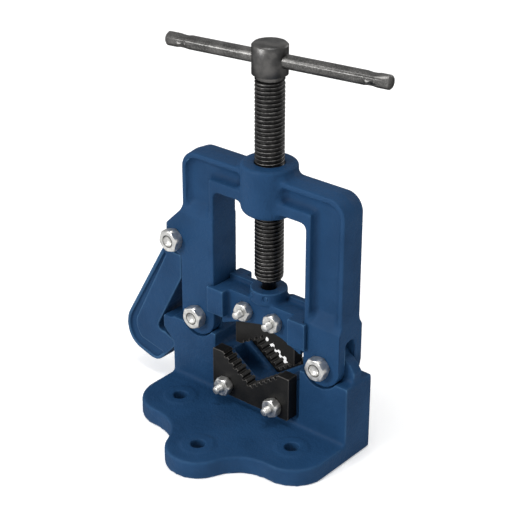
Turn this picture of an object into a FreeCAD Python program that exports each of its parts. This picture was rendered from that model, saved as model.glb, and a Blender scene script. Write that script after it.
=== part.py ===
import FreeCAD, Part
import math
import os
import Sketcher
from FreeCAD import Rotation, Vector

# Yoke pipe vise, in millimetres. +X runs along the width of the yoke, -Y is the front with the
# mounting foot, +Z is up. The origin is on the underside, below the axis of the clamping screw.

SIZES = [
    # Base casting
    ("base_width", 170.0, "width of the base body"),
    ("base_depth", 30.0, "front to rear of the base body"),
    ("shoulder_height", 62.5, "height of the shoulders under the yoke"),
    ("foot_thickness", 14.0, "thickness of the mounting foot"),
    ("foot_side_hole_x", 55.0, "side foot holes from the middle"),
    ("foot_side_hole_y", 40.0, "side foot holes in front of the screw"),
    ("foot_front_hole_y", 81.0, "front foot hole in front of the screw"),
    ("foot_hole_diameter", 11.0, "clearance hole for a 10 mm bolt"),
    ("foot_lobe_shift", 2.0, "side lobes are centred this far outside their holes"),
    ("foot_front_radius", 24.5, "round of the front lobe"),
    ("foot_front_margin", 24.0, "metal in front of the front hole's centre"),
    ("foot_blend_radius", 32.0, "hollow between the lobes"),
    ("foot_slope", 67.5, "sides of the front lobe, degrees"),
    ("foot_edge_round", 2.0, "rounding of the upper edge of the foot"),
    ("foot_pad_radius", 12.5, "raised pad round each foot hole"),
    ("foot_pad_rise", 0.8, "height of those pads"),
    ("column_inset", 2.0, "base columns stand this far inside the window"),
    ("jaw_recess", 3.0, "depth of the seat for each lower jaw"),
    ("cavity_half_length", 29.0, "half the slot that takes the upper jaw"),
    ("cavity_half_depth", 7.5, "half the front to rear size of that slot"),
    ("cavity_floor", 34.0, "height of the floor of that slot"),
    ("wall_drop", 4.2, "the casting stays this far below the jaw teeth"),
    ("lug_reach", 10.0, "catch lug beyond the left side of the base"),
    ("lug_corner_height", 50.0, "lower end of the upright side of the lug"),
    ("lug_root_height", 40.0, "lower end of the slanted side of the lug"),
    # Hinge tongues
    ("tongue_thickness", 9.9, "tongue between the ears of the fork"),
    ("tongue_radius", 16.0, "round top of each tongue"),
    ("buttress_reach", 5.5, "buttress outside the round of each tongue"),
    ("seat_gap", 0.75, "gap below the round ears of the yoke"),
    ("hinge_clearance", 0.07, "radial clearance of a hinge bolt"),
    # Yoke casting
    ("window_half", 43.0, "half the clear width of the window"),
    ("window_top", 180.0, "top of the window"),
    ("leg_width", 33.0, "width of each leg"),
    ("parting_bulge", 0.6, "the parting line stands this far out of the legs"),
    ("yoke_top", 206.0, "top of the crossbeam"),
    ("yoke_corner_radius", 15.0, "outer top corners"),
    ("window_corner_radius", 4.0, "inner top corners"),
    ("rim_half_depth", 11.0, "half the depth of the outer rim"),
    ("rim_width", 4.5, "face of the outer rim"),
    ("rim_draft", 6.0, "draft of the outer sides, degrees"),
    ("web_half_depth", 6.5, "half the depth of the recessed web"),
    ("flange_half_depth", 13.0, "half the depth of the inner flange"),
    ("flange_leg_width", 4.5, "inner flange on the legs"),
    ("flange_beam_width", 9.0, "inner flange on the crossbeam"),
    ("ear_half_depth", 13.5, "half the depth of the forks"),
    ("ramp_left_height", 155.0, "foot of the ramp on the left leg"),
    ("ramp_right_height", 103.0, "foot of the ramp on the right leg"),
    ("ramp_rise", 10.0, "height of each ramp"),
    ("pivot_height", 72.0, "height of the hinge bolt"),
    ("fork_slot_reach", 22.0, "slot above the hinge bolt"),
    ("fork_clearance", 0.3, "gap at each side of a tongue"),
    ("boss_radius", 21.0, "screw boss of the yoke"),
    ("boss_top", 212.0, "top face of that boss"),
    ("boss_bottom", 173.0, "lower face of that boss"),
    ("boss_top_round", 2.5, "rounding of the top of the boss"),
    ("boss_bottom_round", 6.0, "rounding of the bottom of the boss"),
    # Latch hook
    ("latch_pivot_out", 6.0, "latch pivot beyond the side of the left leg"),
    ("latch_pivot_height", 130.5, "height of the latch pivot"),
    ("latch_head_radius", 10.5, "round head of the latch"),
    ("latch_tongue", 9.9, "thickness of the latch between the cheeks"),
    ("latch_arm", 25.0, "thickness of the arm below the cheeks"),
    ("latch_shoulder_radius", 13.5, "the arm starts this far from its pivot"),
    ("latch_groove_depth", 2.4, "groove inside the rim of the latch"),
    ("clevis_reach", 9.0, "clevis beyond the latch pivot"),
    ("clevis_clearance", 1.4, "room round the head of the latch"),
    # Screw and handle
    ("screw_diameter", 21.6, "over the thread"),
    ("bore_clearance", 0.25, "radial room in the yoke bore"),
    ("thread_bottom", 119.0, "lower end of the thread"),
    ("thread_top", 274.5, "upper end of the thread"),
    ("thread_taper", 3.0, "tapered run at the lower end"),
    ("shank_diameter", 20.0, "plain shank under the head"),
    ("head_bottom", 277.5, "underside of the screw head"),
    ("head_height", 22.5, "height of the screw head"),
    ("head_diameter", 26.0, "diameter of the screw head"),
    ("head_chamfer", 1.3, "chamfers of the screw head"),
    ("neck_diameter", 10.4, "neck turned in the saddle"),
    ("neck_bottom_gap", 0.1, "neck above the floor of its bore"),
    ("neck_groove_depth", 1.2, "groove for the retaining pins"),
    ("bar_diameter", 10.3, "T-bar handle"),
    ("bar_length", 177.0, "length of the T-bar"),
    ("bar_slide", 4.5, "how far the bar is slid to the right"),
    ("bar_turn", 9.0, "turn of the bar from +X, degrees"),
    ("bar_clearance", 0.1, "radial room of the bar in the head"),
    ("bar_end_length", 8.0, "full round end outside the crimp"),
    ("bar_crimp_length", 12.0, "length of each crimp"),
    ("bar_crimp_depth", 1.7, "depth of each crimp"),
    ("bar_bulge", 0.5, "how far each crimp spreads the bar sideways"),
    ("bar_end_chamfer", 1.0, "chamfer of the bar ends"),
    # Saddle that carries the upper jaw
    ("saddle_half_depth", 10.0, "half the depth of the saddle body"),
    ("saddle_half_width", 38.0, "half the width below the guides"),
    ("saddle_apex", 83.5, "middle of the lower edge"),
    ("saddle_shoulder", 78.5, "lower edge at mid span"),
    ("saddle_bottom", 71.5, "lower edge at the ends"),
    ("saddle_top", 103.0, "top of the saddle"),
    ("saddle_ledge_rise", 4.0, "ledge along the rear of the top"),
    ("saddle_ledge_front", 4.5, "front of that ledge behind the screw"),
    ("guide_clearance", 0.4, "gap between saddle and legs"),
    ("guide_thickness", 3.6, "lips in front of and behind the legs"),
    ("guide_overlap", 4.0, "how far the lips cover the legs"),
    ("guide_root", 31.0, "inner end of the guide blocks"),
    ("guide_bottom", 81.0, "lower end of the guides"),
    ("saddle_boss_radius", 14.0, "boss round the neck"),
    ("saddle_boss_top", 112.0, "top of that boss"),
    ("saddle_bore_depth", 8.2, "bore of the neck below that top"),
    ("saddle_bore_countersink", 1.0, "countersink of that bore"),
    ("neck_clearance", 0.1, "radial room of the neck in its bore"),
    ("retaining_pin_diameter", 4.0, "pins that hold the neck"),
    ("retaining_pin_drop", 4.2, "pins below the top of the boss"),
    ("retaining_pin_length", 24.0, "length of those pins"),
    ("retaining_pin_clearance", 0.05, "radial room of the pins"),
    # Jaws
    ("jaw_thickness", 10.0, "front to rear of a jaw"),
    ("jaw_half_width", 37.0, "half the width of a lower jaw"),
    ("jaw_bottom", 19.5, "bottom of the lower jaws"),
    ("jaw_flat_height", 55.5, "flats at the top of the lower jaws"),
    ("jaw_opening_half", 27.0, "half the width of the lower V"),
    ("jaw_angle", 35.5, "slope of the lower V, degrees"),
    ("tooth_depth", 2.3, "depth of the teeth"),
    ("tooth_crest", 0.42, "flat crest as a share of the pitch"),
    ("tooth_slope", 0.14, "each side of a tooth as a share of the pitch"),
    ("jaw_corner_round", 2.0, "lower corners of the lower jaws"),
    ("upper_jaw_half_width", 28.5, "half the width of the upper jaw"),
    ("upper_jaw_apex", 70.0, "middle of the upper V"),
    ("upper_jaw_opening_half", 23.2, "half the width of the upper V"),
    ("upper_jaw_angle", 30.0, "slope of the upper V, degrees"),
    ("upper_jaw_top", 99.0, "top of the upper jaw"),
    ("jaw_fit", 0.1, "gap round the upper jaw in the saddle"),
    # Fasteners
    ("hinge_bolt_diameter", 10.0, "hinge, seat and latch bolts"),
    ("hinge_nut_flats", 16.0, "across the flats of their nuts and heads"),
    ("hinge_nut_height", 8.0, "their nuts"),
    ("hinge_head_height", 6.4, "their heads"),
    ("hinge_bolt_stickout", 0.4, "bolt end beyond the nut"),
    ("jaw_bolt_diameter", 6.35, "jaw bolts"),
    ("jaw_nut_flats", 13.0, "across the flats of their nuts and heads"),
    ("jaw_nut_height", 5.5, "their nuts"),
    ("jaw_head_height", 4.4, "their heads"),
    ("jaw_bolt_stickout", 5.8, "stud end beyond the nut"),
    ("jaw_bolt_clearance", 0.1, "radial room of the jaw bolts"),
    ("lower_bolt_x", 23.7, "lower jaw bolts from the middle"),
    ("lower_bolt_height", 28.0, "height of the lower jaw bolts"),
    ("upper_bolt_x", 14.0, "upper jaw bolts from the middle"),
    ("upper_bolt_height", 91.0, "height of the upper jaw bolts"),
]

doc = FreeCAD.newDocument("yoke_pipe_vise")
sheet = doc.addObject("Spreadsheet::Sheet", "sizes")
for row, (alias, number, note) in enumerate(SIZES, start=1):
    sheet.set(f"A{row}", str(number))
    sheet.setAlias(f"A{row}", alias)
    sheet.set(f"B{row}", note)
doc.recompute()


class Size:
    """A number together with the sheet expression that gives it."""

    def __init__(self, value, text):
        self.value = float(value)
        self.text = text

    def __add__(self, other):
        other = as_size(other)
        return Size(self.value + other.value, f"({self.text} + {other.text})")

    def __sub__(self, other):
        other = as_size(other)
        return Size(self.value - other.value, f"({self.text} - {other.text})")

    def __mul__(self, other):
        other = as_size(other)
        return Size(self.value * other.value, f"({self.text} * {other.text})")

    def __truediv__(self, other):
        other = as_size(other)
        return Size(self.value / other.value, f"({self.text} / {other.text})")

    def __neg__(self):
        return as_size(0) - self

    __radd__ = __add__
    __rmul__ = __mul__

    def __rsub__(self, other):
        return as_size(other) - self


def as_size(thing):
    if isinstance(thing, Size):
        return thing
    return Size(thing, repr(float(thing)))


def size(alias):
    return Size(sheet.get(alias), f"sizes.{alias}")


def sine(angle):
    return Size(math.sin(math.radians(angle.value)), f"sin({angle.text})")


def cosine(angle):
    return Size(math.cos(math.radians(angle.value)), f"cos({angle.text})")


def tangent(angle):
    return Size(math.tan(math.radians(angle.value)), f"tan({angle.text})")


def bind(thing, prop, amount):
    """Ties one property to the sheet, with its value set at once."""
    thing.setExpression(prop, as_size(amount).text)


# Places that several pieces share
half_base = size("base_width") / 2
half_depth = size("base_depth") / 2
throat_half = size("window_half") - size("column_inset")
wall_face = half_depth - size("jaw_recess")
leg_outer = size("window_half") + size("leg_width")
pivot_x = size("window_half") + size("leg_width") / 2
ear_radius = size("leg_width") / 2
pivot_z = size("pivot_height")
ear_face = size("ear_half_depth")
slot_half = size("tongue_thickness") / 2 + size("fork_clearance")
latch_x = -(leg_outer + size("latch_pivot_out"))
latch_z = size("latch_pivot_height")
jaw_valley = size("jaw_flat_height") - size("jaw_opening_half") * tangent(size("jaw_angle"))
ledge_height = size("jaw_flat_height") - size("wall_drop")
jaw_face = wall_face + size("jaw_thickness")
head_middle = size("head_bottom") + size("head_height") / 2
hinge_bore = size("hinge_bolt_diameter") / 2 + size("hinge_clearance")
jaw_bore = size("jaw_bolt_diameter") / 2 + size("jaw_bolt_clearance")

# A sketch on the XZ plane looks along its own normal towards -Y, so its level is -Y.
NORMAL_SIGN = {"XY": 1, "XZ": -1, "YZ": 1}


def new_body(name):
    body = doc.addObject("PartDesign::Body", name)
    body.Label = name
    return body


def new_sketch(body, name, plane, level):
    """An empty sketch parallel to one of the body's origin planes, at a level along its axis."""
    sketch = body.newObject("Sketcher::SketchObject", name)
    support = [part for part in body.Origin.OriginFeatures if part.Role == f"{plane}_Plane"][0]
    sketch.AttachmentSupport = [(support, "")]
    sketch.MapMode = "FlatFace"
    offset = as_size(level) * NORMAL_SIGN[plane]
    sketch.AttachmentOffset = FreeCAD.Placement(Vector(0, 0, offset.value), Rotation())
    bind(sketch, "AttachmentOffset.Base.z", offset)
    return sketch


def hold(sketch, kind, first, second, amount):
    """A dimension from the sketch origin to a point, tied to the sheet and never negative."""
    amount = as_size(amount)
    ends = (-1, 1, first, second)
    if amount.value < 0:
        amount = -amount
        ends = (first, second, -1, 1)
    index = sketch.addConstraint(Sketcher.Constraint(kind, *ends, amount.value))
    bind(sketch, f"Constraints[{index}]", amount)


def locate(sketch, item, end, across, up):
    hold(sketch, "DistanceX", item, end, across)
    hold(sketch, "DistanceY", item, end, up)


def set_radius(sketch, item, radius):
    index = sketch.addConstraint(Sketcher.Constraint("Radius", item, as_size(radius).value))
    bind(sketch, f"Constraints[{index}]", radius)


def circle(sketch, across, up, radius):
    across, up, radius = as_size(across), as_size(up), as_size(radius)
    centre = Vector(across.value, up.value, 0)
    item = sketch.addGeometry(Part.Circle(centre, Vector(0, 0, 1), radius.value), False)
    locate(sketch, item, 3, across, up)
    set_radius(sketch, item, radius)


def outline(sketch, corners):
    """A closed outline through corners (across, up) or (across, up, radius of a rounded corner)."""
    flat = [Vector(as_size(c[0]).value, as_size(c[1]).value, 0) for c in corners]
    radii = [as_size(c[2]) if len(c) > 2 else None for c in corners]
    count = len(corners)
    entries, exits, centres, turns = [], [], [], []
    for i, point in enumerate(flat):
        before = (flat[i - 1] - point).normalize()
        after = (flat[(i + 1) % count] - point).normalize()
        turns.append((point - flat[i - 1]).cross(flat[(i + 1) % count] - point).z)
        if radii[i] is None:
            entries.append(point)
            exits.append(point)
            centres.append(None)
            continue
        half_angle = before.getAngle(after) / 2
        cut_back = radii[i].value / math.tan(half_angle)
        entries.append(point + before * cut_back)
        exits.append(point + after * cut_back)
        middle = (before + after).normalize()
        centres.append(point + middle * (radii[i].value / math.sin(half_angle)))
    lines = []
    for i in range(count):
        segment = Part.LineSegment(exits[i], entries[(i + 1) % count])
        lines.append(sketch.addGeometry(segment, False))
    for i in range(count):
        incoming, outgoing = lines[i - 1], lines[i]
        if radii[i] is None:
            sketch.addConstraint(Sketcher.Constraint("Coincident", incoming, 2, outgoing, 1))
            locate(sketch, outgoing, 1, corners[i][0], corners[i][1])
            continue
        start, end = (entries[i], exits[i]) if turns[i] > 0 else (exits[i], entries[i])
        first = math.atan2(start.y - centres[i].y, start.x - centres[i].x)
        last = math.atan2(end.y - centres[i].y, end.x - centres[i].x)
        if last < first:
            last += 2 * math.pi
        round_off = Part.Circle(centres[i], Vector(0, 0, 1), radii[i].value)
        arc = sketch.addGeometry(Part.ArcOfCircle(round_off, first, last), False)
        near, far = (1, 2) if turns[i] > 0 else (2, 1)
        corner = sketch.addGeometry(Part.Point(flat[i]), True)
        locate(sketch, corner, 1, corners[i][0], corners[i][1])
        sketch.addConstraint(Sketcher.Constraint("PointOnObject", corner, 1, incoming))
        sketch.addConstraint(Sketcher.Constraint("PointOnObject", corner, 1, outgoing))
        sketch.addConstraint(Sketcher.Constraint("Tangent", incoming, 2, arc, near))
        sketch.addConstraint(Sketcher.Constraint("Tangent", arc, far, outgoing, 1))
        set_radius(sketch, arc, radii[i])


def box_corners(left, right, bottom, top):
    return [(left, bottom), (right, bottom), (right, top), (left, top)]


def drawn(body, name, plane, level, shapes):
    sketch = new_sketch(body, f"{name}_sketch", plane, level)
    for shape in shapes:
        if isinstance(shape, tuple):
            circle(sketch, *shape)
        else:
            outline(sketch, shape)
    return sketch


def add(body, name, plane, low, high, shapes, draft=None, backward=False):
    """Pads the shapes between two levels; a draft tapers the pad away from its sketch."""
    low, high = as_size(low), as_size(high)
    level = high if (plane == "XZ") != backward else low
    pad = body.newObject("PartDesign::Pad", name)
    pad.Profile = drawn(body, name, plane, level, shapes)
    pad.Length = (high - low).value
    pad.Reversed = backward
    bind(pad, "Length", high - low)
    if draft is not None:
        bind(pad, "TaperAngle", -draft)
    return pad


def cut(body, name, plane, low, high, shapes):
    """Cuts the shapes between two levels and makes sure that metal was removed."""
    low, high = as_size(low), as_size(high)
    level = low if plane == "XZ" else high
    doc.recompute()
    before = body.Shape.Volume
    pocket = body.newObject("PartDesign::Pocket", name)
    pocket.Profile = drawn(body, name, plane, level, shapes)
    pocket.Length = (high - low).value
    bind(pocket, "Length", high - low)
    doc.recompute()
    if body.Shape.Volume >= before - 1e-6:
        raise RuntimeError(f"{body.Label}: {name} removed nothing")
    return pocket


def both_faces(action, body, name, inner, outer, shapes):
    """The same pad or cut on the front and on the rear, between two distances from mid-depth."""
    inner, outer = as_size(inner), as_size(outer)
    action(body, f"{name}_front", "XZ", -outer, -inner, shapes)
    action(body, f"{name}_rear", "XZ", inner, outer, shapes)


def dress(body, kind, name, amount, wanted):
    """Rounds or chamfers every edge of the shape so far that the test picks."""
    doc.recompute()
    base = body.Tip
    picked = [f"Edge{i + 1}" for i, edge in enumerate(base.Shape.Edges) if wanted(edge)]
    if not picked:
        raise RuntimeError(f"{body.Label}: {name} found no edge")
    feature = body.newObject(f"PartDesign::{kind}", name)
    feature.Base = (base, picked)
    bind(feature, "Radius" if kind == "Fillet" else "Size", amount)
    return feature


def edge_box(edge, x=None, y=None, z=None):
    """True for an edge whose whole length lies in the given ranges."""
    box = edge.BoundBox
    slack = 0.02
    for span, low, high in ((x, box.XMin, box.XMax), (y, box.YMin, box.YMax), (z, box.ZMin, box.ZMax)):
        if span and (low < span[0] - slack or high > span[1] + slack):
            return False
    return True


def revolve(body, name, corners, kind="PartDesign::Revolution", axis="V_Axis"):
    """Turns a half outline on the XZ plane round the upright or the level axis."""
    doc.recompute()
    before = body.Shape.Volume if kind == "PartDesign::Groove" else None
    sketch = new_sketch(body, f"{name}_sketch", "XZ", 0)
    outline(sketch, corners)
    turned = body.newObject(kind, name)
    turned.Profile = sketch
    turned.ReferenceAxis = (sketch, [axis])
    turned.Angle = 360.0
    doc.recompute()
    if before is not None and body.Shape.Volume >= before - 1e-6:
        raise RuntimeError(f"{body.Label}: {name} removed nothing")
    return turned


def turn_about_screw(body, angle):
    """Turns a finished body about the axis of the screw."""
    body.Placement = FreeCAD.Placement(Vector(), Rotation(Vector(0, 0, 1), angle.value))
    bind(body, "Placement.Rotation.Angle", angle)


def lay_along_y(body, x, y, z):
    """Lays a body modelled along its own Z so that it points to the front from a given place."""
    x, y, z = as_size(x), as_size(y), as_size(z)
    body.Placement = FreeCAD.Placement(Vector(x.value, y.value, z.value), Rotation(Vector(1, 0, 0), 90))
    for axis, amount in (("x", x), ("y", y), ("z", z)):
        bind(body, f"Placement.Base.{axis}", amount)


def left_and_right(corners):
    """A symmetrical outline from the corners of its right half, given from low to high."""
    left = [(-as_size(c[0]),) + tuple(c[1:]) for c in reversed(corners)]
    return list(corners) + left


def build_base():
    body = new_body("base")
    slope = size("foot_slope")
    lobe_round = half_base - size("foot_side_hole_x") - size("foot_lobe_shift")
    lobe_front = -(size("foot_side_hole_y") + lobe_round)
    foot_front = -(size("foot_front_hole_y") + size("foot_front_margin"))
    tip_half = size("foot_front_radius") * tangent(slope / 2) + 0.4
    neck_half = tip_half + (lobe_front - foot_front) / tangent(slope)
    blend = size("foot_blend_radius")
    tip_round = size("foot_front_radius")
    foot_plan = [
        (-tip_half, foot_front, tip_round),
        (tip_half, foot_front, tip_round),
        (neck_half, lobe_front, blend),
        (half_base, lobe_front, lobe_round),
        (half_base, half_depth),
        (-half_base, half_depth),
        (-half_base, lobe_front, lobe_round),
        (-neck_half, lobe_front, blend),
    ]
    foot_top = size("foot_thickness")
    add(body, "foot", "XY", 0, foot_top, [foot_plan])
    level = foot_top.value
    rear = half_depth.value
    dress(body, "Fillet", "foot_edge", size("foot_edge_round"), lambda edge:
          edge_box(edge, z=(level, level)) and edge.BoundBox.YMin < rear - 1)
    pad_top = foot_top + size("foot_pad_rise")
    holes = [
        (-size("foot_side_hole_x"), -size("foot_side_hole_y")),
        (size("foot_side_hole_x"), -size("foot_side_hole_y")),
        (0, -size("foot_front_hole_y")),
    ]
    add(body, "hole_pads", "XY", foot_top - 1, pad_top,
        [(x, y, size("foot_pad_radius")) for x, y in holes])

    shoulder = size("shoulder_height")
    lug_x = -(half_base + size("lug_reach"))
    lug_top = shoulder - 1.5
    add(body, "columns", "XZ", -half_depth, half_depth, [[
        (-half_base, 0),
        (half_base, 0),
        (half_base, shoulder, 2),
        (-half_base, shoulder),
        (-half_base, lug_top),
        (lug_x, lug_top, 2),
        (lug_x, size("lug_corner_height"), 2),
        (-half_base, size("lug_root_height")),
    ]])

    valley = jaw_valley - size("wall_drop")
    opening = size("jaw_opening_half")
    cut(body, "throat", "XZ", -half_depth, half_depth, [[
        (0, valley),
        (opening, ledge_height),
        (throat_half, ledge_height),
        (throat_half, shoulder + 1),
        (-throat_half, shoulder + 1),
        (-throat_half, ledge_height),
        (-opening, ledge_height),
    ]])
    seat_floor = size("jaw_bottom") - 0.3
    both_faces(cut, body, "jaw_seat", wall_face, half_depth,
               [box_corners(-throat_half, throat_half, seat_floor, shoulder + 1)])
    reach = size("cavity_half_length")
    depth = size("cavity_half_depth")
    cut(body, "cavity", "XY", size("cavity_floor"), shoulder,
        [box_corners(-reach, reach, -depth, depth)])

    tongue = size("tongue_radius")
    tongue_half = size("tongue_thickness") / 2
    inner = pivot_x - tongue
    outer = pivot_x + tongue
    bulge = size("buttress_reach")
    seat_round = ear_radius + size("seat_gap")
    both_faces(cut, body, "ear_seats", tongue_half, half_depth,
               [(-pivot_x, pivot_z, seat_round), (pivot_x, pivot_z, seat_round)])
    add(body, "left_tongue", "XZ", -tongue_half, tongue_half,
        [box_corners(-outer, -inner, shoulder - 8, pivot_z)])
    add(body, "right_tongue", "XZ", -tongue_half, tongue_half, [[
        (inner, shoulder - 8),
        (outer + bulge + 2.5, shoulder - 8),
        (outer + bulge + 2.5, pivot_z - 2),
        (outer + bulge - 1.5, pivot_z + 4),
        (outer - 1, pivot_z + 8),
        (pivot_x, pivot_z),
        (inner, pivot_z),
    ]])
    add(body, "tongue_rounds", "XZ", -tongue_half, tongue_half,
        [(-pivot_x, pivot_z, tongue), (pivot_x, pivot_z, tongue)])
    cut(body, "pivot_hole", "XZ", -tongue_half, tongue_half, [(pivot_x, pivot_z, hinge_bore)])
    notch = size("hinge_bolt_diameter") / 2 + size("fork_clearance")
    cut(body, "notch_round", "XZ", -tongue_half, tongue_half, [(-pivot_x, pivot_z, notch)])
    cut(body, "notch", "XZ", -tongue_half, tongue_half, [[
        (-(pivot_x + notch), pivot_z),
        (-(pivot_x - notch), pivot_z),
        (-(pivot_x - notch - 1.5), pivot_z + tongue + 3),
        (-(pivot_x + notch + 1.5), pivot_z + tongue + 3),
    ]])
    cut(body, "jaw_bolt_holes", "XZ", -half_depth, half_depth, [
        (-size("lower_bolt_x"), size("lower_bolt_height"), jaw_bore),
        (size("lower_bolt_x"), size("lower_bolt_height"), jaw_bore),
    ])
    cut(body, "foot_holes", "XY", 0, pad_top,
        [(x, y, size("foot_hole_diameter") / 2) for x, y in holes])
    return body


def build_yoke():
    body = new_body("yoke")
    window = size("window_half")
    window_top = size("window_top")
    top = size("yoke_top")
    side = leg_outer + size("parting_bulge")
    rim = size("rim_half_depth")
    corner = size("yoke_corner_radius")
    silhouette = left_and_right([(side, pivot_z), (side, top, corner)])
    add(body, "front_half", "XZ", -rim, 0, [silhouette], draft=size("rim_draft"))
    add(body, "rear_half", "XZ", 0, rim, [silhouette], draft=size("rim_draft"), backward=True)

    flange_side = window + size("flange_leg_width")
    flange_top = window_top + size("flange_beam_width")
    channel_side = leg_outer - size("rim_width")
    channel_top = top - size("rim_width") - 1
    below = pivot_z - 5
    both_faces(cut, body, "channel", size("web_half_depth"), rim, [[
        (flange_side, below),
        (channel_side, below),
        (channel_side, channel_top, corner - 5),
        (-channel_side, channel_top, corner - 5),
        (-channel_side, below),
        (-flange_side, below),
        (-flange_side, flange_top),
        (flange_side, flange_top),
    ]])
    both_faces(add, body, "inner_flange", size("web_half_depth"), size("flange_half_depth"),
               [left_and_right([(flange_side, pivot_z), (flange_side, flange_top)])])

    ear = size("ear_half_depth")
    web = size("web_half_depth")
    rise = size("ramp_rise")
    for side_name, low, high, ramp in (
        ("left", -leg_outer, -window, size("ramp_left_height")),
        ("right", window, leg_outer, size("ramp_right_height")),
    ):
        add(body, f"{side_name}_leg_block", "YZ", low, high,
            [left_and_right([(ear, pivot_z), (ear, ramp), (web, ramp + rise)])])
    add(body, "ears", "XZ", -ear, ear,
        [(-pivot_x, pivot_z, ear_radius), (pivot_x, pivot_z, ear_radius)])

    boss = size("boss_radius")
    boss_bottom = size("boss_bottom")
    boss_top = size("boss_top")
    round_top = size("boss_top_round")
    window_round = size("window_corner_radius")
    cut(body, "window", "XZ", -ear, ear,
        [left_and_right([(window, pivot_z - ear_radius), (window, window_top, window_round)])])
    revolve(body, "boss", [
        (0, boss_bottom),
        (boss, boss_bottom, size("boss_bottom_round")),
        (boss, boss_top, round_top),
        (0, boss_top),
    ])
    bore = size("screw_diameter") / 2 + size("bore_clearance")
    cut(body, "bore", "XY", boss_bottom, boss_top, [(0, 0, bore)])

    cheek_x = latch_x - size("clevis_reach")
    both_faces(add, body, "clevis", size("web_half_depth") - 2, ear, [[
        (-(leg_outer - 6), latch_z - 12),
        (cheek_x, latch_z - 12, 8),
        (cheek_x, latch_z + 10.5, 2),
        (-(leg_outer + 1), latch_z + 24.5),
        (-(leg_outer - 6), latch_z + 24.5),
    ]])
    pocket = size("latch_head_radius") + size("clevis_clearance")
    cut(body, "latch_pocket", "XZ", -slot_half, slot_half, [(latch_x, latch_z, pocket)])
    cut(body, "clevis_slot", "XZ", -slot_half, slot_half, [[
        (-(leg_outer + 0.7), latch_z - 14),
        (-(leg_outer + 0.7), latch_z + 26),
        (cheek_x - 2, latch_z + 26),
        (cheek_x - 2, latch_z - 14),
    ]])
    slot_top = pivot_z + size("fork_slot_reach")
    slot_side = side + 1
    for side_name, sign in (("left", -1), ("right", 1)):
        cut(body, f"{side_name}_fork_slot", "XZ", -slot_half, slot_half, [box_corners(
            (window - 1) * sign, slot_side * sign, pivot_z - ear_radius - 1, slot_top)])
    cut(body, "pivot_holes", "XZ", -ear, ear, [
        (-pivot_x, pivot_z, hinge_bore),
        (pivot_x, pivot_z, hinge_bore),
        (latch_x, latch_z, hinge_bore),
    ])
    return body


def build_saddle():
    body = new_body("saddle")
    guide = size("window_half") - size("guide_clearance")
    low_side = size("saddle_half_width")
    depth = size("saddle_half_depth")
    top = size("saddle_top")
    guide_low = size("guide_bottom")
    right_half = [
        (low_side * 0.55, size("saddle_shoulder")),
        (low_side, size("saddle_bottom")),
        (low_side, guide_low),
        (guide, guide_low),
        (guide, top),
    ]
    lower_edge = [(0, size("saddle_apex"))]
    add(body, "plate", "XZ", -depth, depth, [lower_edge + left_and_right(right_half)])

    lip_inner = size("ear_half_depth") + size("guide_clearance")
    lip_outer = lip_inner + size("guide_thickness")
    root_x = size("guide_root")
    lip_x = size("window_half") + size("guide_overlap")
    add(body, "guide_blocks", "XZ", -lip_outer, lip_outer, [
        box_corners(-guide, -root_x, guide_low, top),
        box_corners(root_x, guide, guide_low, top),
    ])
    both_faces(add, body, "guide_lips", lip_inner, lip_outer, [
        box_corners(-lip_x, -root_x - 1, guide_low, top),
        box_corners(root_x + 1, lip_x, guide_low, top),
    ])
    ledge = top + size("saddle_ledge_rise")
    boss = size("saddle_boss_radius")
    ledge_front = size("saddle_ledge_front")
    add(body, "rear_ledge", "XY", top - 1, ledge, [box_corners(-guide, guide, ledge_front, depth)])
    add(body, "ledge_ends", "XY", top - 1, ledge, [
        box_corners(-guide, -root_x, ledge_front, lip_outer),
        box_corners(root_x, guide, ledge_front, lip_outer),
    ])
    cut(body, "ledge_gap", "XY", top, ledge, [(0, 0, boss + 2.5)])
    boss_top = size("saddle_boss_top")
    add(body, "boss", "XY", top - 1, boss_top, [(0, 0, boss)])
    neck_bore = size("neck_diameter") / 2 + size("neck_clearance")
    flare = size("saddle_bore_countersink")
    revolve(body, "neck_bore", [
        (0, boss_top - size("saddle_bore_depth")),
        (neck_bore, boss_top - size("saddle_bore_depth")),
        (neck_bore, boss_top - flare),
        (neck_bore + flare, boss_top),
        (0, boss_top),
    ], kind="PartDesign::Groove")
    fit = size("jaw_fit")
    slot = size("jaw_thickness") / 2 + fit
    cut(body, "jaw_slot", "XZ", -slot, slot, [box_corners(
        -(size("upper_jaw_half_width") + fit), size("upper_jaw_half_width") + fit,
        size("saddle_bottom"), size("upper_jaw_top") + fit)])
    cut(body, "jaw_bolt_holes", "XZ", -depth, depth, [
        (-size("upper_bolt_x"), size("upper_bolt_height"), jaw_bore),
        (size("upper_bolt_x"), size("upper_bolt_height"), jaw_bore),
    ])
    pin_bore = size("retaining_pin_diameter") / 2 + size("retaining_pin_clearance")
    cut(body, "pin_holes", "XZ", -boss, boss, [
        (-retaining_pin_x, retaining_pin_z, pin_bore),
        (retaining_pin_x, retaining_pin_z, pin_bore),
    ])
    return body


def toothed_flank(half_opening, start_height, angle, count, direction):
    """Corners along one flank of a V from its outer end to the middle, cut into square teeth.

    direction is -1 for a V that falls towards the middle and 1 for one that rises.
    """
    pitch = half_opening / cosine(angle) / count
    crest = pitch * size("tooth_crest")
    slope = pitch * size("tooth_slope")
    depth = size("tooth_depth")
    corners = []
    for tooth in range(count):
        start = pitch * tooth
        for run, inward in (
            (start, 0),
            (start + crest, 0),
            (start + crest + slope, depth),
            (start + pitch - slope, depth),
        ):
            across = half_opening - run * cosine(angle) + inward * sine(angle)
            up = start_height + (run * sine(angle) + inward * cosine(angle)) * direction
            corners.append((across, up))
    return corners


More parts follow.
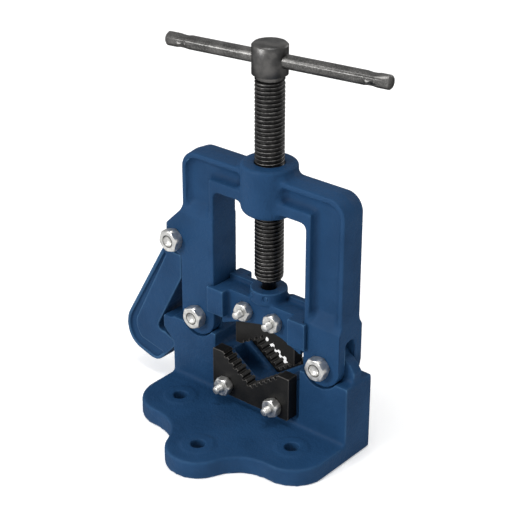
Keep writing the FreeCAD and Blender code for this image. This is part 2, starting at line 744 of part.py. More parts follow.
def build_lower_jaw(name, low, high):
    body = new_body(name)
    width = size("jaw_half_width")
    flat = size("jaw_flat_height")
    bottom = size("jaw_bottom")
    radius = size("jaw_corner_round")
    right = [(width, bottom, radius), (width, flat, 1)]
    right += toothed_flank(size("jaw_opening_half"), flat, size("jaw_angle"), LOWER_TEETH, -1)
    middle = [(0, jaw_valley)]
    left = [(-as_size(c[0]),) + tuple(c[1:]) for c in reversed(right)]
    add(body, "plate", "XZ", low, high, [right + middle + left])
    cut(body, "bolt_holes", "XZ", low, high, [
        (-size("lower_bolt_x"), size("lower_bolt_height"), jaw_bore),
        (size("lower_bolt_x"), size("lower_bolt_height"), jaw_bore),
    ])
    return body


def build_upper_jaw():
    body = new_body("upper_jaw")
    width = size("upper_jaw_half_width")
    opening = size("upper_jaw_opening_half")
    angle = size("upper_jaw_angle")
    apex = size("upper_jaw_apex")
    flat = apex - opening * tangent(angle)
    half = size("jaw_thickness") / 2
    right = [(width, size("upper_jaw_top")), (width, flat)]
    right += toothed_flank(opening, flat, angle, UPPER_TEETH, 1)
    middle = [(0, apex)]
    left = [(-as_size(c[0]),) + tuple(c[1:]) for c in reversed(right)]
    add(body, "plate", "XZ", -half, half, [right + middle + left])
    cut(body, "bolt_holes", "XZ", -half, half, [
        (-size("upper_bolt_x"), size("upper_bolt_height"), jaw_bore),
        (size("upper_bolt_x"), size("upper_bolt_height"), jaw_bore),
    ])
    return body


def build_latch_hook():
    body = new_body("latch_hook")
    core = size("latch_tongue") / 2
    arm = size("latch_arm") / 2
    add(body, "arm", "XZ", -arm, arm, [[
        (latch_x - 3.8, latch_z + 5.5),
        (latch_x - 58, latch_z - 90.5, 25),
        (latch_x - 51.6, latch_z - 110, 18),
        (latch_x - 23.6, latch_z - 118.5, 12),
        (latch_x - 3.9, latch_z - 97, 2.5),
        (latch_x - 3.9, latch_z - 92.2, 1.5),
        (latch_x - 14.5, latch_z - 87.5, 3),
        (latch_x - 23.9, latch_z - 87.3, 4),
        (latch_x + 5.1, latch_z - 32.5),
        (latch_x + 5.1, latch_z),
    ]])
    both_faces(cut, body, "shoulder", core, arm, [(latch_x, latch_z, size("latch_shoulder_radius"))])
    add(body, "head", "XZ", -core, core, [(latch_x, latch_z, size("latch_head_radius"))])
    both_faces(cut, body, "groove", arm - size("latch_groove_depth"), arm, [[
        (latch_x - 11.8, latch_z - 15),
        (latch_x - 54.9, latch_z - 90.9, 22),
        (latch_x - 49.3, latch_z - 107.7, 15),
        (latch_x - 24.3, latch_z - 114.9, 8),
        (latch_x - 16.5, latch_z - 106.9),
        (latch_x - 21.5, latch_z - 106),
        (latch_x - 42, latch_z - 101.5, 8),
        (latch_x - 47.2, latch_z - 89, 13),
        (latch_x - 10.8, latch_z - 17.4),
    ]])
    cut(body, "pivot_hole", "XZ", -core, core, [(latch_x, latch_z, hinge_bore)])
    return body


def build_screw():
    body = new_body("screw")
    neck = size("neck_diameter") / 2
    groove = neck - size("neck_groove_depth")
    groove_half = size("retaining_pin_diameter") / 2 + 0.2
    thread = size("screw_diameter") / 2
    shank = size("shank_diameter") / 2
    head = size("head_diameter") / 2
    chamfer = size("head_chamfer")
    neck_bottom = size("saddle_boss_top") - size("saddle_bore_depth") + size("neck_bottom_gap")
    thread_bottom = size("thread_bottom")
    taper = size("thread_taper")
    head_low = size("head_bottom")
    head_high = head_low + size("head_height")
    revolve(body, "turned", [
        (0, neck_bottom),
        (neck, neck_bottom),
        (neck, retaining_pin_z - groove_half),
        (groove, retaining_pin_z - groove_half),
        (groove, retaining_pin_z + groove_half),
        (neck, retaining_pin_z + groove_half),
        (neck, thread_bottom),
        (thread - taper / 2, thread_bottom),
        (thread, thread_bottom + taper),
        (thread, size("thread_top")),
        (shank, size("thread_top")),
        (shank, head_low),
        (head - chamfer, head_low),
        (head, head_low + chamfer / 2),
        (head, head_high - chamfer),
        (head - chamfer, head_high),
        (0, head_high),
    ])
    bar_hole = size("bar_diameter") / 2 + size("bar_clearance")
    cut(body, "bar_hole", "YZ", -head, head, [(0, head_middle, bar_hole)])
    turn_about_screw(body, size("bar_turn"))
    return body


def build_handle_bar():
    body = new_body("handle_bar")
    radius = size("bar_diameter") / 2
    chamfer = size("bar_end_chamfer")
    left = size("bar_slide") - size("bar_length") / 2
    right = size("bar_slide") + size("bar_length") / 2
    low = head_middle - radius
    high = head_middle + radius
    add(body, "rod", "YZ", left, right, [(0, head_middle, radius)])
    dress(body, "Chamfer", "end_chamfers", chamfer, lambda edge: edge.BoundBox.XLength < 0.01)
    pinch = size("bar_crimp_depth")
    length = size("bar_crimp_length")
    dent = (length * length / 4 + pinch * pinch) / (pinch * 2)
    inset = size("bar_end_length") + length / 2
    spots = (left + inset, right - inset)
    side = radius + size("bar_bulge")
    add(body, "crimp_spread", "XY", head_middle - radius * 0.35, head_middle + radius * 0.35,
        [[(x - length / 2, -side, 3), (x + length / 2, -side, 3),
          (x + length / 2, side, 3), (x - length / 2, side, 3)] for x in spots])
    cut(body, "upper_crimps", "XZ", -radius, radius, [(x, high - pinch + dent, dent) for x in spots])
    cut(body, "lower_crimps", "XZ", -radius, radius, [(x, low + pinch - dent, dent) for x in spots])
    turn_about_screw(body, size("bar_turn"))
    return body


def hexagon(flats, turn):
    """Six corners of a hexagon of a given width across its flats."""
    reach = flats / cosine(as_size(30)) / 2
    angles = [as_size(turn + 60 * k) for k in range(6)]
    return [(reach * cosine(angle), reach * sine(angle)) for angle in angles]


def bevel_hexagon(body, name, flats, face, direction):
    """Turns the 30 degree bevel of a nut or bolt head on one of its faces."""
    inner = flats / 2 - 0.2
    outer = flats * 0.62
    drop = (outer - inner) * tangent(as_size(30)) * direction
    revolve(body, name, [(inner, face), (outer, face), (outer, face - drop)],
            kind="PartDesign::Groove")


def build_bolt(name, place, kind, grip, turn):
    """A hexagon bolt laid along Y with its head to the rear; grip is the length clamped."""
    body = new_body(name)
    radius = size(f"{kind}_bolt_diameter") / 2
    flats = size(f"{kind}_nut_flats")
    head = size(f"{kind}_head_height")
    end = grip + size(f"{kind}_nut_height") + size(f"{kind}_bolt_stickout")
    tip = radius * 0.2
    add(body, "head", "XY", -head, 0, [hexagon(flats, turn)])
    bevel_hexagon(body, "head_bevel", flats, -head, -1)
    revolve(body, "shank", [(0, -head / 2), (radius, -head / 2), (radius, end - tip), (radius - tip, end),
                            (0, end)])
    lay_along_y(body, *place)
    return body


def build_nut(name, place, kind, turn):
    """A hexagon nut laid along Y, its rear face on the piece that it clamps."""
    body = new_body(name)
    flats = size(f"{kind}_nut_flats")
    height = size(f"{kind}_nut_height")
    add(body, "prism", "XY", 0, height, [hexagon(flats, turn)])
    bevel_hexagon(body, "front_bevel", flats, height, 1)
    bevel_hexagon(body, "rear_bevel", flats, as_size(0), -1)
    hole = size(f"{kind}_bolt_diameter") / 2 + NUT_THREAD_GAP
    cut(body, "hole", "XY", 0, height, [(0, 0, hole)])
    lay_along_y(body, *place)
    return body


def build_pin(name, x):
    body = new_body(name)
    length = size("retaining_pin_length")
    radius = size("retaining_pin_diameter") / 2
    revolve(body, "rod", [
        (0, 0),
        (radius - 0.4, 0),
        (radius, 0.4),
        (radius, length - 0.4),
        (radius - 0.4, length),
        (0, length),
    ])
    lay_along_y(body, x, length / 2, retaining_pin_z)
    return body


LOWER_TEETH = 6
UPPER_TEETH = 4
NUT_THREAD_GAP = 0.02

neck_groove_radius = size("neck_diameter") / 2 - size("neck_groove_depth")
retaining_pin_x = neck_groove_radius + size("retaining_pin_diameter") / 2 + 0.05
retaining_pin_z = size("saddle_boss_top") - size("retaining_pin_drop")

parts = [
    build_base(),
    build_yoke(),
    build_saddle(),
    build_lower_jaw("lower_jaw_front", -jaw_face, -wall_face),
    build_lower_jaw("lower_jaw_rear", wall_face, jaw_face),
    build_upper_jaw(),
    build_latch_hook(),
    build_screw(),
    build_handle_bar(),
]
hinges = (
    ("yoke_pivot", pivot_x, pivot_z, 8),
    ("yoke_seat", -pivot_x, pivot_z, 21),
    ("latch_pivot", latch_x, latch_z, 14),
)
for name, x, z, turn in hinges:
    parts.append(build_bolt(f"{name}_bolt", (x, ear_face, z), "hinge", ear_face * 2, turn + 11))
    parts.append(build_nut(f"{name}_nut", (x, -ear_face, z), "hinge", turn))
saddle_face = size("saddle_half_depth")
for side_name, sign, turn in (("left", -1, 5), ("right", 1, 24)):
    for row_name, face, across, up in (
        ("lower", jaw_face, size("lower_bolt_x"), size("lower_bolt_height")),
        ("upper", saddle_face, size("upper_bolt_x"), size("upper_bolt_height")),
    ):
        name = f"{row_name}_jaw"
        x = across * sign
        parts.append(build_bolt(f"{name}_bolt_{side_name}", (x, face, up), "jaw", face * 2, turn + 17))
        parts.append(build_nut(f"{name}_nut_{side_name}", (x, -face, up), "jaw", turn))
    parts.append(build_pin(f"screw_retaining_pin_{side_name}", retaining_pin_x * sign))

doc.recompute()
os.makedirs("parts", exist_ok=True)
for thing in doc.Objects:
    bad = [state for state in thing.State if state in ("Invalid", "Error")]
    if bad:
        raise RuntimeError(f"{thing.Label} is {bad[0]}")
for body in parts:
    shape = body.Shape
    if shape.isNull() or not shape.isValid() or len(shape.Solids) != 1:
        raise RuntimeError(f"{body.Label} has no single valid solid")
    shape.exportStep(f"parts/{body.Label}.step")
print(f"{len(parts)} parts written")
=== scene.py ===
import math

import bmesh
import bpy
import numpy as np
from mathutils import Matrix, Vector


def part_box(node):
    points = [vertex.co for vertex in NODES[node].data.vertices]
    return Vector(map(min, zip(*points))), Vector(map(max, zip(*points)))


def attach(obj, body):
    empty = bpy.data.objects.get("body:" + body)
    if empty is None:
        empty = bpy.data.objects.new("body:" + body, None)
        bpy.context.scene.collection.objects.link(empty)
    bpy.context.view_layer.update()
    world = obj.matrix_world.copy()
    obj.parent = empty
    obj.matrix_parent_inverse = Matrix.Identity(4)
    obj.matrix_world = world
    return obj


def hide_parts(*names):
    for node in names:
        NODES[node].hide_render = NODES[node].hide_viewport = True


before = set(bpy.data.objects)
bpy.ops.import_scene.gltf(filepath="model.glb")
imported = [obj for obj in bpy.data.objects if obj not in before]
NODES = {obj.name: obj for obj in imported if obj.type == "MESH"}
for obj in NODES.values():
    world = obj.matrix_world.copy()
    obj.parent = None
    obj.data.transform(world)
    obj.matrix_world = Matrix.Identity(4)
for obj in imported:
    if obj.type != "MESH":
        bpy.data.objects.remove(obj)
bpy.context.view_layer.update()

# Lengths are in metres.
MM = 0.001
SHARP_ANGLE = math.radians(32)


def new_material(name):
    """An empty material with one Principled shader, returned with that shader."""
    material = bpy.data.materials.new(name)
    material.use_nodes = True
    tree = material.node_tree
    tree.nodes.clear()
    output = tree.nodes.new("ShaderNodeOutputMaterial")
    shader = tree.nodes.new("ShaderNodeBsdfPrincipled")
    tree.links.new(shader.outputs["BSDF"], output.inputs["Surface"])
    return material, tree, shader


class Wire:
    """A socket of a shader tree that can be added, multiplied and mixed like a number."""

    def __init__(self, tree, socket):
        self.tree = tree
        self.socket = socket

    def node(self, kind, inputs, output=0, **settings):
        """Makes one node, joins or sets its inputs, and returns one of its outputs."""
        made = self.tree.nodes.new(kind)
        for key, value in settings.items():
            setattr(made, key, value)
        for key, value in inputs.items():
            if isinstance(value, Wire):
                self.tree.links.new(value.socket, made.inputs[key])
            else:
                made.inputs[key].default_value = value
        return Wire(self.tree, made.outputs[output])

    def maths(self, operation, first, second):
        """One Math node on two values."""
        return self.node("ShaderNodeMath", {0: first, 1: second}, operation=operation)

    def __add__(self, other):
        return self.maths("ADD", self, other)

    def __radd__(self, other):
        return self.maths("ADD", other, self)

    def __rsub__(self, other):
        return self.maths("SUBTRACT", other, self)

    def __mul__(self, other):
        return self.maths("MULTIPLY", self, other)

    def __rmul__(self, other):
        return self.maths("MULTIPLY", other, self)

    def greater(self, other):
        """The greater of two values."""
        return self.maths("MAXIMUM", self, other)

    def step(self, start, end):
        """0 at the start and before it, 1 at the end and past it, and smooth in between."""
        return self.node("ShaderNodeMapRange", {"Value": self, "From Min": start, "From Max": end},
                         interpolation_type="SMOOTHSTEP")

    def ramp(self, first, second):
        """The colour that goes from first at 0 to second at 1."""
        return self.node("ShaderNodeMix", {0: self, 6: first, 7: second}, output=2, data_type="RGBA")

    def into(self, shader, name):
        """Feeds one of the shader's sockets."""
        self.tree.links.new(self.socket, shader.inputs[name])


def place_of(tree):
    """The Object coordinates of a material."""
    return Wire(tree, None).node("ShaderNodeTexCoord", {}, output="Object")


def stretched(place, x, y, z):
    """Coordinates scaled along each axis."""
    return place.node("ShaderNodeMapping", {"Vector": place, "Scale": (x, y, z)})


def noise(place, scale, detail):
    """Cloudy noise from 0 to 1, with about scale spots to a metre."""
    return place.node("ShaderNodeTexNoise", {"Vector": place, "Scale": scale, "Detail": detail,
                                             "Roughness": 0.55}, output="Fac")


def pointiness(place):
    """0.5 on a flat, more on an outer edge and less in a hollow."""
    return place.node("ShaderNodeNewGeometry", {}, output="Pointiness")


def bump(height, distance, strength):
    """A normal tilted by a height field."""
    return height.node("ShaderNodeBump", {"Height": height, "Distance": distance, "Strength": strength},
                       output="Normal")


def colour(red, green, blue):
    """An opaque colour for a socket."""
    return (red, green, blue, 1.0)


def painted_casting():
    """Blue enamel over a sand casting: grainy; lighter on the edges, partly worn paint and partly
    painted highlight, and darker in the hollows with painted shade.
    """
    deep = colour(0.0100, 0.040, 0.100)
    fresh = colour(0.0130, 0.049, 0.120)
    worn_and_highlit = colour(0.052, 0.132, 0.245)
    painted_shade = colour(0.003, 0.014, 0.042)
    material, tree, shader = new_material("blue enamel on sand casting")
    place = place_of(tree)
    cloud = noise(place, 28, 2.0)
    grain = noise(place, 900, 2.0)
    lumps = noise(place, 240, 2.0)
    # Edges lighter: partly worn paint, partly a painted highlight
    edge = pointiness(place).step(0.506, 0.560) * 0.75
    # Hollows darker: painted shade in creases and inner corners
    hollow = pointiness(place).step(0.490, 0.430) * 0.75
    body = edge.ramp(cloud.step(0.35, 0.65).ramp(deep, fresh), worn_and_highlit)
    hollow.ramp(body, painted_shade).into(shader, "Base Color")
    (0.44 + grain * 0.14).into(shader, "Roughness")
    bump(grain * 0.45 + lumps, 0.52 * MM, 1.0).into(shader, "Normal")
    shader.inputs["Specular IOR Level"].default_value = 0.08
    return material


def blackened_steel():
    """Black oxide with a faint brown bloom; tooth edges lighter, partly worn bright and partly painted
    highlight.
    """
    black = colour(0.0048, 0.0048, 0.0047)
    bloom = colour(0.0105, 0.0098, 0.0092)
    worn_and_highlit = colour(0.15, 0.14, 0.13)
    material, tree, shader = new_material("black oxide steel")
    place = place_of(tree)
    cloud = noise(place, 60, 3.0)
    grain = noise(place, 700, 2.0)
    # Tooth edges lighter: partly worn steel, partly a painted highlight
    edge = pointiness(place).step(0.512, 0.565) * 0.8
    edge.ramp(cloud.step(0.4, 0.7).ramp(black, bloom), worn_and_highlit).into(shader, "Base Color")
    (0.36 + grain * 0.22).into(shader, "Roughness")
    bump(grain, 0.14 * MM, 0.7).into(shader, "Normal")
    shader.inputs["Metallic"].default_value = 0.2
    shader.inputs["Specular IOR Level"].default_value = 0.3
    return material


def dark_steel(name, wear_and_glint, dim, bright):
    """Oiled turned steel, from a dim to a bright grey, with fine rings round the upright axis.

    The last argument, from 0 to 1, brightens its edges in broken glints: partly worn steel, partly
    painted highlight.
    """
    oiled = colour(dim, dim, dim)
    wiped = colour(bright, bright * 0.97, bright * 0.94)
    worn_and_highlit = colour(0.42, 0.41, 0.40)
    material, tree, shader = new_material(name)
    place = place_of(tree)
    rings = noise(stretched(place, 60, 60, 2600), 1.0, 2.0)
    cloud = noise(place, 90, 3.0)
    speckle = noise(place, 1400, 2.0)
    # Broken glints on the edges: painted highlight, partly worn steel
    glint = noise(place, 420, 2.0).step(0.38, 0.62) * 0.7 + 0.3
    edge = pointiness(place).step(0.515, 0.60) * glint * wear_and_glint
    edge.ramp(cloud.step(0.3, 0.75).ramp(oiled, wiped), worn_and_highlit).into(shader, "Base Color")
    (0.20 + rings * 0.15 + speckle * 0.20).into(shader, "Roughness")
    bump(rings + speckle, 0.07 * MM, 0.6).into(shader, "Normal")
    shader.inputs["Metallic"].default_value = 1.0
    return material


def bar_steel():
    """Drawn bar: fine scratches along its length and a darker skin with bright specks."""
    skin = colour(0.070, 0.069, 0.067)
    wiped = colour(0.175, 0.170, 0.165)
    bare = colour(0.36, 0.355, 0.345)
    material, tree, shader = new_material("drawn steel bar")
    place = place_of(tree)
    scratches = noise(stretched(place, 40, 900, 900), 1.0, 3.0)
    cloud = noise(place, 70, 3.0)
    speckle = noise(place, 900, 3.0)
    specks = speckle.step(0.42, 0.75) * 0.4
    specks.ramp(cloud.step(0.3, 0.75).ramp(skin, wiped), bare).into(shader, "Base Color")
    (0.18 + scratches * 0.2 + speckle * 0.2).into(shader, "Roughness")
    bump(scratches + speckle, 0.08 * MM, 0.6).into(shader, "Normal")
    shader.inputs["Metallic"].default_value = 1.0
    return material


def zinc_plate():
    """Bright zinc plate, slightly clouded."""
    dull = colour(0.50, 0.50, 0.49)
    bright = colour(0.76, 0.75, 0.72)
    material, tree, shader = new_material("bright zinc plate")
    place = place_of(tree)
    cloud = noise(place, 260, 3.0)
    cloud.step(0.3, 0.75).ramp(dull, bright).into(shader, "Base Color")
    (0.24 + cloud * 0.25).into(shader, "Roughness")
    bump(noise(place, 1500, 2.0), 0.04 * MM, 0.6).into(shader, "Normal")
    shader.inputs["Metallic"].default_value = 0.85
    return material


PAINT = painted_casting()
BLACK = blackened_steel()
STEEL = dark_steel("oiled turned steel", 0.0, 0.060, 0.150)
# The thread's crests get painted glints, partly worn steel
THREAD_STEEL = dark_steel("oiled thread", 0.85, 0.017, 0.045)
BAR = bar_steel()
ZINC = zinc_plate()


def add_piece(name, mesh, material, body, slot, *stands_for):
    """A new object of the vise with its material and its body; the parts it stands for are hidden."""
    piece = bpy.data.objects.new(name, mesh)
    bpy.context.scene.collection.objects.link(piece)
    mesh.materials.clear()
    mesh.materials.append(material)
    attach(piece, body)
    if stands_for:
        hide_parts(*stands_for)
    return piece


def welded_copy(node):
    """A copy of a solid's mesh in the frame of the object, with its triangles joined."""
    source = NODES[node]
    mesh = source.data.copy()
    mesh.transform(source.matrix_world)
    joined = bmesh.new()
    joined.from_mesh(mesh)
    bmesh.ops.remove_doubles(joined, verts=joined.verts, dist=0.001 * MM)
    joined.to_mesh(mesh)
    joined.free()
    return mesh


def shade_machined(mesh):
    """Smooth shading over curves, with sharp edges where facets meet at a larger angle."""
    mesh.shade_smooth()
    mesh.set_sharp_from_angle(angle=SHARP_ANGLE)


def read_places(mesh):
    """The places of a mesh's points, as an array [point, xyz]."""
    flat = np.empty(len(mesh.vertices) * 3, dtype=np.float32)
    mesh.vertices.foreach_get("co", flat)
    return flat.reshape(-1, 3)


def write_places(mesh, places):
    """Puts changed places back into a mesh."""
    mesh.vertices.foreach_set("co", places.ravel())
    mesh.update()


def close_ends(shell):
    """Joins the seam of an open shell and caps each hole with one flat, sharp-edged face."""
    bmesh.ops.remove_doubles(shell, verts=shell.verts, dist=0.0001 * MM)
    caps = bmesh.ops.holes_fill(shell, edges=shell.edges, sides=0)["faces"]
    for cap in caps:
        cap.smooth = False
        for edge in cap.edges:
            edge.smooth = False


def drop_faces(mesh, unwanted):
    """Removes the faces whose corners, an array [corner, xyz], pass a test, and caps the holes."""
    trimmed = bmesh.new()
    trimmed.from_mesh(mesh)
    gone = [face for face in trimmed.faces if unwanted(np.array([v.co[:] for v in face.verts]))]
    bmesh.ops.delete(trimmed, geom=gone, context="FACES")
    close_ends(trimmed)
    trimmed.to_mesh(mesh)
    trimmed.free()


def skin_over(piece, facet):
    """A closed skin of even facets over a piece."""
    skin = piece.modifiers.new("skin", "REMESH")
    skin.mode = "VOXEL"
    skin.voxel_size = facet
    skin.use_smooth_shade = True


def shift_out(piece, distance):
    """Moves each point of a piece along its normal: place + distance * normal."""
    shift = piece.modifiers.new("shift", "DISPLACE")
    shift.mid_level = 0
    shift.strength = distance


def soft_copy(name, node, facet, passes, material, body, slot, fillet=0):
    """A casting or forging with rounded edges: a fine skin over the solid, then relaxed.

    Each pass moves a point halfway to the mean of its neighbours. With a fillet the skin is
    shifted out by it, skinned again and shifted back, so each inner corner is filled with about
    that radius.
    """
    piece = add_piece(name, welded_copy(node), material, body, slot, node)
    skin_over(piece, facet)
    if fillet:
        shift_out(piece, fillet)
        skin_over(piece, facet)
        shift_out(piece, -fillet)
    relax = piece.modifiers.new("relax", "SMOOTH")
    relax.factor = 0.5
    relax.iterations = passes


def crisp_copy(name, node, material, body, slot):
    """A machined piece: smooth over its curves and sharp at its edges."""
    mesh = welded_copy(node)
    shade_machined(mesh)
    return add_piece(name, mesh, material, body, slot, node)


def tube_mesh(name, points):
    """A closed tube from an array of points [row, column, xyz]; the last column meets the first.

    Facet [i, j] joins the points of rows i and i + 1 and columns j and j + 1.
    """
    rows, columns = points.shape[:2]
    i, j = np.meshgrid(np.arange(rows - 1), np.arange(columns - 1), indexing="ij")
    corner = i * columns + j
    facets = np.stack([corner, corner + 1, corner + columns + 1, corner + columns], -1)
    mesh = bpy.data.meshes.new(name)
    mesh.from_pydata(points.reshape(-1, 3).tolist(), [], facets.reshape(-1, 4).tolist())
    mesh.shade_smooth()
    closed = bmesh.new()
    closed.from_mesh(mesh)
    close_ends(closed)
    bmesh.ops.recalc_face_normals(closed, faces=closed.faces)
    closed.to_mesh(mesh)
    closed.free()
    return mesh


# Profile of a thread: where its flanks would meet, how fast they fall in a pitch, and the
# pitches over which it fades at its ends
FLANK_TOP = 1.9
FLANK_SLOPE = 5.6
RUN_IN = 0.9
RUN_OUT = 0.7


def thread_points(crest, root, pitch, low, high, columns=48, per_pitch=12):
    """A screw thread round +Z between two heights.

    Row i has the profile phase i / per_pitch. Its points climb one pitch per turn, so the crest
    stays a clean helix: z = low + (i / per_pitch - 1 + j / columns) * pitch, held between the ends.
    The radius is root + (crest - root) * form. The form is FLANK_TOP - FLANK_SLOPE * distance
    from the middle of the pitch, held from 0 to 1: crest and root are each about a third of a
    pitch wide. It fades to 0 over RUN_IN pitches at the low end and RUN_OUT at the high end.
    """
    turns = (high - low) / pitch + 1
    rows = int(math.ceil(turns * per_pitch)) + 1
    i, j = np.meshgrid(np.arange(rows), np.arange(columns + 1), indexing="ij")
    phase = (i / per_pitch) % 1.0
    form = np.clip(FLANK_TOP - np.abs(phase - 0.5) * FLANK_SLOPE, 0.0, 1.0)
    z = low + (i / per_pitch - 1 + j / columns) * pitch
    run_in = np.clip((z - low) / (pitch * RUN_IN), 0, 1)
    run_out = np.clip((high - z) / (pitch * RUN_OUT), 0, 1)
    radius = root + (crest - root) * form * run_in * run_out
    angle = j * 2 * math.pi / columns
    return np.stack([radius * np.cos(angle), radius * np.sin(angle), np.clip(z, low, high)], -1)


def to_front(points, x, y, z):
    """Turns points made round +Z so that they run to the front, -Y, from a given place."""
    return np.stack([points[..., 0] + x, y - points[..., 2], points[..., 1] + z], -1)


# Castings and the hook: piece, node, body, facet size, relaxing passes and inner fillet
CASTINGS = [
    ("base_casting", "base", "vise_base", 1.05 * MM, 3, 1.5 * MM),
    ("yoke_casting", "yoke", "yoke_frame", 0.95 * MM, 3, 3 * MM),
    ("saddle_casting", "saddle", "jaw_carrier", 0.8 * MM, 2, 0.8 * MM),
    ("latch_hook_forging", "latch_hook", "latch", 0.8 * MM, 2, 0),
]
for name, node, body, facet, passes, fillet in CASTINGS:
    soft_copy(name, node, facet, passes, PAINT, body, "painted_casting", fillet)

# Jaws: piece, node and body
JAW_FACET = 0.4 * MM
JAWS = [
    ("front_lower_jaw", "lower_jaw_front", "vise_base"),
    ("rear_lower_jaw", "lower_jaw_rear", "vise_base"),
    ("upper_jaw_black", "upper_jaw", "jaw_carrier"),
]
for name, node, body in JAWS:
    soft_copy(name, node, JAW_FACET, 1, BLACK, body, "blackened_jaw_steel")

# Clamping screw: the turned ends come from the solid, the thread is a helix between them.
THREAD_PITCH = 3 * MM
THREAD_CREST = 10.8 * MM
THREAD_ROOT = 9.25 * MM
THREAD_LOW = 119 * MM
THREAD_HIGH = 274.5 * MM
BLANK_RADIUS = 9.2 * MM
BLANK_HEIGHT = 1 * MM
TOUCH = 0.01 * MM


def on_thread_blank(corners):
    """Whether a facet is one of the tall ones of the plain bar between the thread's ends."""
    bottom = corners[:, 2].min()
    top = corners[:, 2].max()
    radius = np.hypot(corners[:, 0], corners[:, 1]).min()
    between = bottom > THREAD_LOW - TOUCH and top < THREAD_HIGH + TOUCH
    return between and radius > BLANK_RADIUS and top - bottom > BLANK_HEIGHT


screw_ends = welded_copy("screw")
drop_faces(screw_ends, on_thread_blank)
shade_machined(screw_ends)
add_piece("screw_turned_ends", screw_ends, STEEL, "clamp_screw", "dark_steel", "screw")
helix = thread_points(THREAD_CREST, THREAD_ROOT, THREAD_PITCH, THREAD_LOW, THREAD_HIGH)
thread = tube_mesh("screw_thread", helix)
add_piece("screw_thread", thread, THREAD_STEEL, "clamp_screw", "dark_steel")
crisp_copy("T-bar_handle", "handle_bar", BAR, "t_bar", "dark_steel")

# Pins that hold the screw's neck, painted over with the saddle
PIN_FACET = 0.3 * MM
for side in ("left", "right"):
    pin = f"screw_retaining_pin_{side}"
    soft_copy(f"{side}_retaining_pin", pin, PIN_FACET, 2, PAINT, "jaw_carrier", "painted_casting")

# Hinge bolts end in a dimple inside their nuts. Jaw bolts stand out of nuts made thicker in front.
# A tip is the length of a bolt's end that moves as one, and an end is how far it moves along Y.
HINGE_RADIUS = 5 * MM
HINGE_TIP = 0.1 * MM
HINGE_END = 2.4 * MM
JAW_BOLT_RADIUS = 3.175 * MM
JAW_BOLT_PITCH = 1.27 * MM
JAW_BOLT_TIP = 1.5 * MM
JAW_BOLT_END = -1.2 * MM
JAW_NUT_FRONT = -1 * MM
NUT_CHAMFER = 2 * MM

# Root of a bolt's thread as a share of its radius, and how deep in the nut the bolt is turned
# down to it. The stud's thread starts less deep, and stops short of the bolt's end.
ROOT_SHARE = 0.86
TURNED_DEPTH = 1 * MM
STUD_DEPTH = 0.5 * MM
STUD_SHORT = 0.05 * MM


def move_front(mesh, plane, distance):
    """Moves the front of a fastener along Y: y + distance for each point in front of a plane."""
    places = read_places(mesh)
    places[places[:, 1] < plane, 1] += distance
    write_places(mesh, places)


def cut_to_root(mesh, x, z, root, plane):
    """Turns a bolt down to a radius in front of a plane: centre + across * root / distance."""
    places = read_places(mesh)
    across = places[:, ::2] - (x, z)
    distance = np.hypot(across[:, 0], across[:, 1])
    wide = (places[:, 1] < plane) & (distance > root)
    places[wide, ::2] = (x, z) + across[wide] * (root / distance[wide])[:, None]
    write_places(mesh, places)


def add_bolt(name, node, body, radius, nut_face, tip, end_move):
    """A hexagon bolt, turned down to the thread's root in its nut, with its tip moved along Y.

    Returns the middle of the bolt in x and z, its end in y and the thread's root.
    """
    low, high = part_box(node)
    x = (low[0] + high[0]) / 2
    z = (low[2] + high[2]) / 2
    root = radius * ROOT_SHARE
    mesh = welded_copy(node)
    cut_to_root(mesh, x, z, root, nut_face + TURNED_DEPTH)
    move_front(mesh, low[1] + tip, end_move)
    shade_machined(mesh)
    add_piece(name, mesh, ZINC, body, "zinc_plated_steel", node)
    return x, z, low[1] + end_move, root


# Hinge bolts: the words of the pieces and of the nodes
HINGES = [
    ("yoke_hinge", "yoke_pivot"),
    ("left_seat", "yoke_seat"),
    ("latch_hinge", "latch_pivot"),
]
for words, node in HINGES:
    nut = f"{node}_nut"
    nut_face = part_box(nut)[0][1]
    crisp_copy(f"{words}_nut", nut, ZINC, "yoke_frame", "zinc_plated_steel")
    add_bolt(f"{words}_bolt", f"{node}_bolt", "yoke_frame", HINGE_RADIUS, nut_face, HINGE_TIP, HINGE_END)

# Jaw bolts: the words of the pieces, the node of the bolt and of the nut, and the body
JAW_BOLTS = [
    ("lower_jaw_left", "lower_jaw_bolt_left", "lower_jaw_nut_left", "vise_base"),
    ("lower_jaw_right", "lower_jaw_bolt_right", "lower_jaw_nut_right", "vise_base"),
    ("upper_jaw_left", "upper_jaw_bolt_left", "upper_jaw_nut_left", "jaw_carrier"),
    ("upper_jaw_right", "upper_jaw_bolt_right", "upper_jaw_nut_right", "jaw_carrier"),
]
for words, bolt, nut, body in JAW_BOLTS:
    solid_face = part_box(nut)[0][1]
    nut_face = solid_face + JAW_NUT_FRONT
    nut_piece = crisp_copy(f"{words}_nut", nut, ZINC, body, "zinc_plated_steel")
    move_front(nut_piece.data, solid_face + NUT_CHAMFER, JAW_NUT_FRONT)
    x, z, end, root = add_bolt(f"{words}_bolt", bolt, body, JAW_BOLT_RADIUS, nut_face, JAW_BOLT_TIP,
                               JAW_BOLT_END)
    start = nut_face + STUD_DEPTH
    length = start - end - STUD_SHORT
    helix = thread_points(JAW_BOLT_RADIUS, root, JAW_BOLT_PITCH, 0, length, columns=28, per_pitch=8)
    stud = tube_mesh(f"{words}_bolt_thread", to_front(helix, x, start, z))
    add_piece(f"{words}_bolt_thread", stud, ZINC, body, "zinc_plated_steel")


# Distances from the vise between which the paper turns from lit to glowing
GLOW_START = 0.6
GLOW_END = 2.2


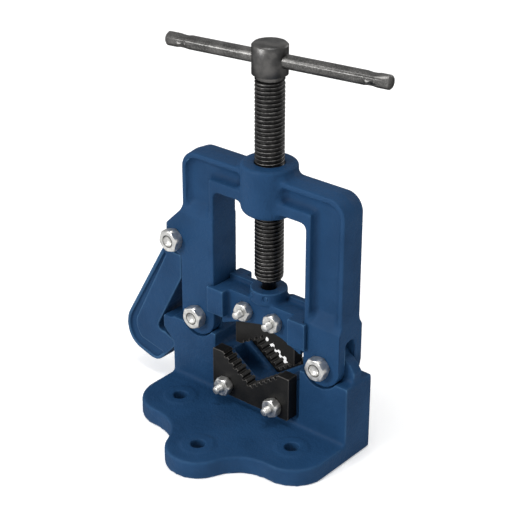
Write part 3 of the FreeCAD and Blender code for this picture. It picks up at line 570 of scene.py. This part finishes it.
def white_paper():
    """White paper under the vise; it glows more with distance, so its far edge isn't seen."""
    paper = colour(0.93, 0.93, 0.93)
    glow = colour(0.3, 0.3, 0.3)
    material, tree, shader = new_material("white paper")
    place = place_of(tree)
    distance = place.node("ShaderNodeVectorMath", {0: place}, output="Value", operation="LENGTH")
    far = distance.step(GLOW_START, GLOW_END)
    far.ramp(paper, colour(0, 0, 0)).into(shader, "Base Color")
    far.ramp(glow, colour(1, 1, 1)).into(shader, "Emission Color")
    shader.inputs["Roughness"].default_value = 0.9
    shader.inputs["Specular IOR Level"].default_value = 0.0
    shader.inputs["Emission Strength"].default_value = 1.0
    return material


# Floor, a hair under the foot
FLOOR_HALF = 3.0
FLOOR_DROP = 0.2 * MM
floor_mesh = bpy.data.meshes.new("floor")
floor_corners = [(-FLOOR_HALF, -FLOOR_HALF, 0), (FLOOR_HALF, -FLOOR_HALF, 0),
                 (FLOOR_HALF, FLOOR_HALF, 0), (-FLOOR_HALF, FLOOR_HALF, 0)]
floor_mesh.from_pydata(floor_corners, [], [(0, 1, 2, 3)])
floor_mesh.materials.append(white_paper())
floor = bpy.data.objects.new("floor", floor_mesh)
bpy.context.scene.collection.objects.link(floor)
floor.location.z = -FLOOR_DROP
floor.visible_glossy = False

# Lamps: name, place, height of the target, size and power
LAMPS = [
    ("key", (-0.9, -2.6, 1.35), 0.10, 1.2, 56),
    ("top", (0.1, -0.2, 1.8), 0.10, 0.9, 11),
    ("side", (1.5, -0.5, 0.7), 0.15, 0.6, 0.4),
    ("back", (0.3, 1.6, 0.9), 0.15, 0.8, 4),
]
for name, place, target, size, power in LAMPS:
    lamp = bpy.data.lights.new(name, "AREA")
    lamp.shape = "DISK"
    lamp.size = size
    lamp.energy = power
    holder = bpy.data.objects.new(name, lamp)
    bpy.context.scene.collection.objects.link(holder)
    holder.location = place
    aim = Vector((0, 0, target)) - Vector(place)
    holder.rotation_euler = aim.to_track_quat("-Z", "Y").to_euler()


def studio_world():
    """A white room: full white to the camera, half grey as light, and for reflections a room that
    is bright in front, at the right and above, and dark low at the rear."""
    world = bpy.data.worlds.new("studio")
    world.use_nodes = True
    tree = world.node_tree
    tree.nodes.clear()
    output = tree.nodes.new("ShaderNodeOutputWorld")
    start = Wire(tree, None)
    rays = tree.nodes.new("ShaderNodeLightPath")
    seen = Wire(tree, rays.outputs["Is Camera Ray"])
    clear = Wire(tree, rays.outputs["Is Transmission Ray"])
    glossy = Wire(tree, rays.outputs["Is Glossy Ray"])
    heading = tree.nodes.new("ShaderNodeSeparateXYZ")
    tree.links.new(start.node("ShaderNodeTexCoord", {}, output="Generated").socket, heading.inputs[0])
    from_right, from_rear, from_above = [Wire(tree, heading.outputs[axis]) for axis in "XYZ"]
    front = 1 - from_rear.step(-0.35, 0.25)
    right = from_right.step(0.1, 0.7) * 0.5
    above = from_above.step(-0.15, 0.5) * 0.6
    reflected = (0.10 + 0.90 * front.greater(right.greater(above))) * 0.95
    diffuse = 0.5
    white = seen.greater(clear)
    level = white + (1 - white) * (glossy * reflected + (1 - glossy) * diffuse)
    backdrop = start.node("ShaderNodeBackground", {"Color": colour(1, 1, 1), "Strength": level})
    tree.links.new(backdrop.socket, output.inputs["Surface"])
    return world


bpy.context.scene.world = studio_world()

# Camera, fitted to the photograph's view
CAMERA_AZIMUTH = math.radians(40.1)
CAMERA_ELEVATION = math.radians(26.9)
CAMERA_TARGET = Vector((-0.0126, 0, 0.1327))
CAMERA_DISTANCE = 1.1055
CAMERA_LENS = 105.47
SENSOR_WIDTH = 36
level_reach = math.cos(CAMERA_ELEVATION)
toward_camera = Vector((math.sin(CAMERA_AZIMUTH) * level_reach, -math.cos(CAMERA_AZIMUTH) * level_reach,
                        math.sin(CAMERA_ELEVATION)))
camera_data = bpy.data.cameras.new("camera")
camera_data.lens = CAMERA_LENS
camera_data.sensor_width = SENSOR_WIDTH
camera = bpy.data.objects.new("camera", camera_data)
bpy.context.scene.collection.objects.link(camera)
camera.location = CAMERA_TARGET + toward_camera * CAMERA_DISTANCE
camera.rotation_euler = (-toward_camera).to_track_quat("-Z", "Y").to_euler()
bpy.context.scene.camera = camera
bpy.context.scene.view_settings.view_transform = "Standard"
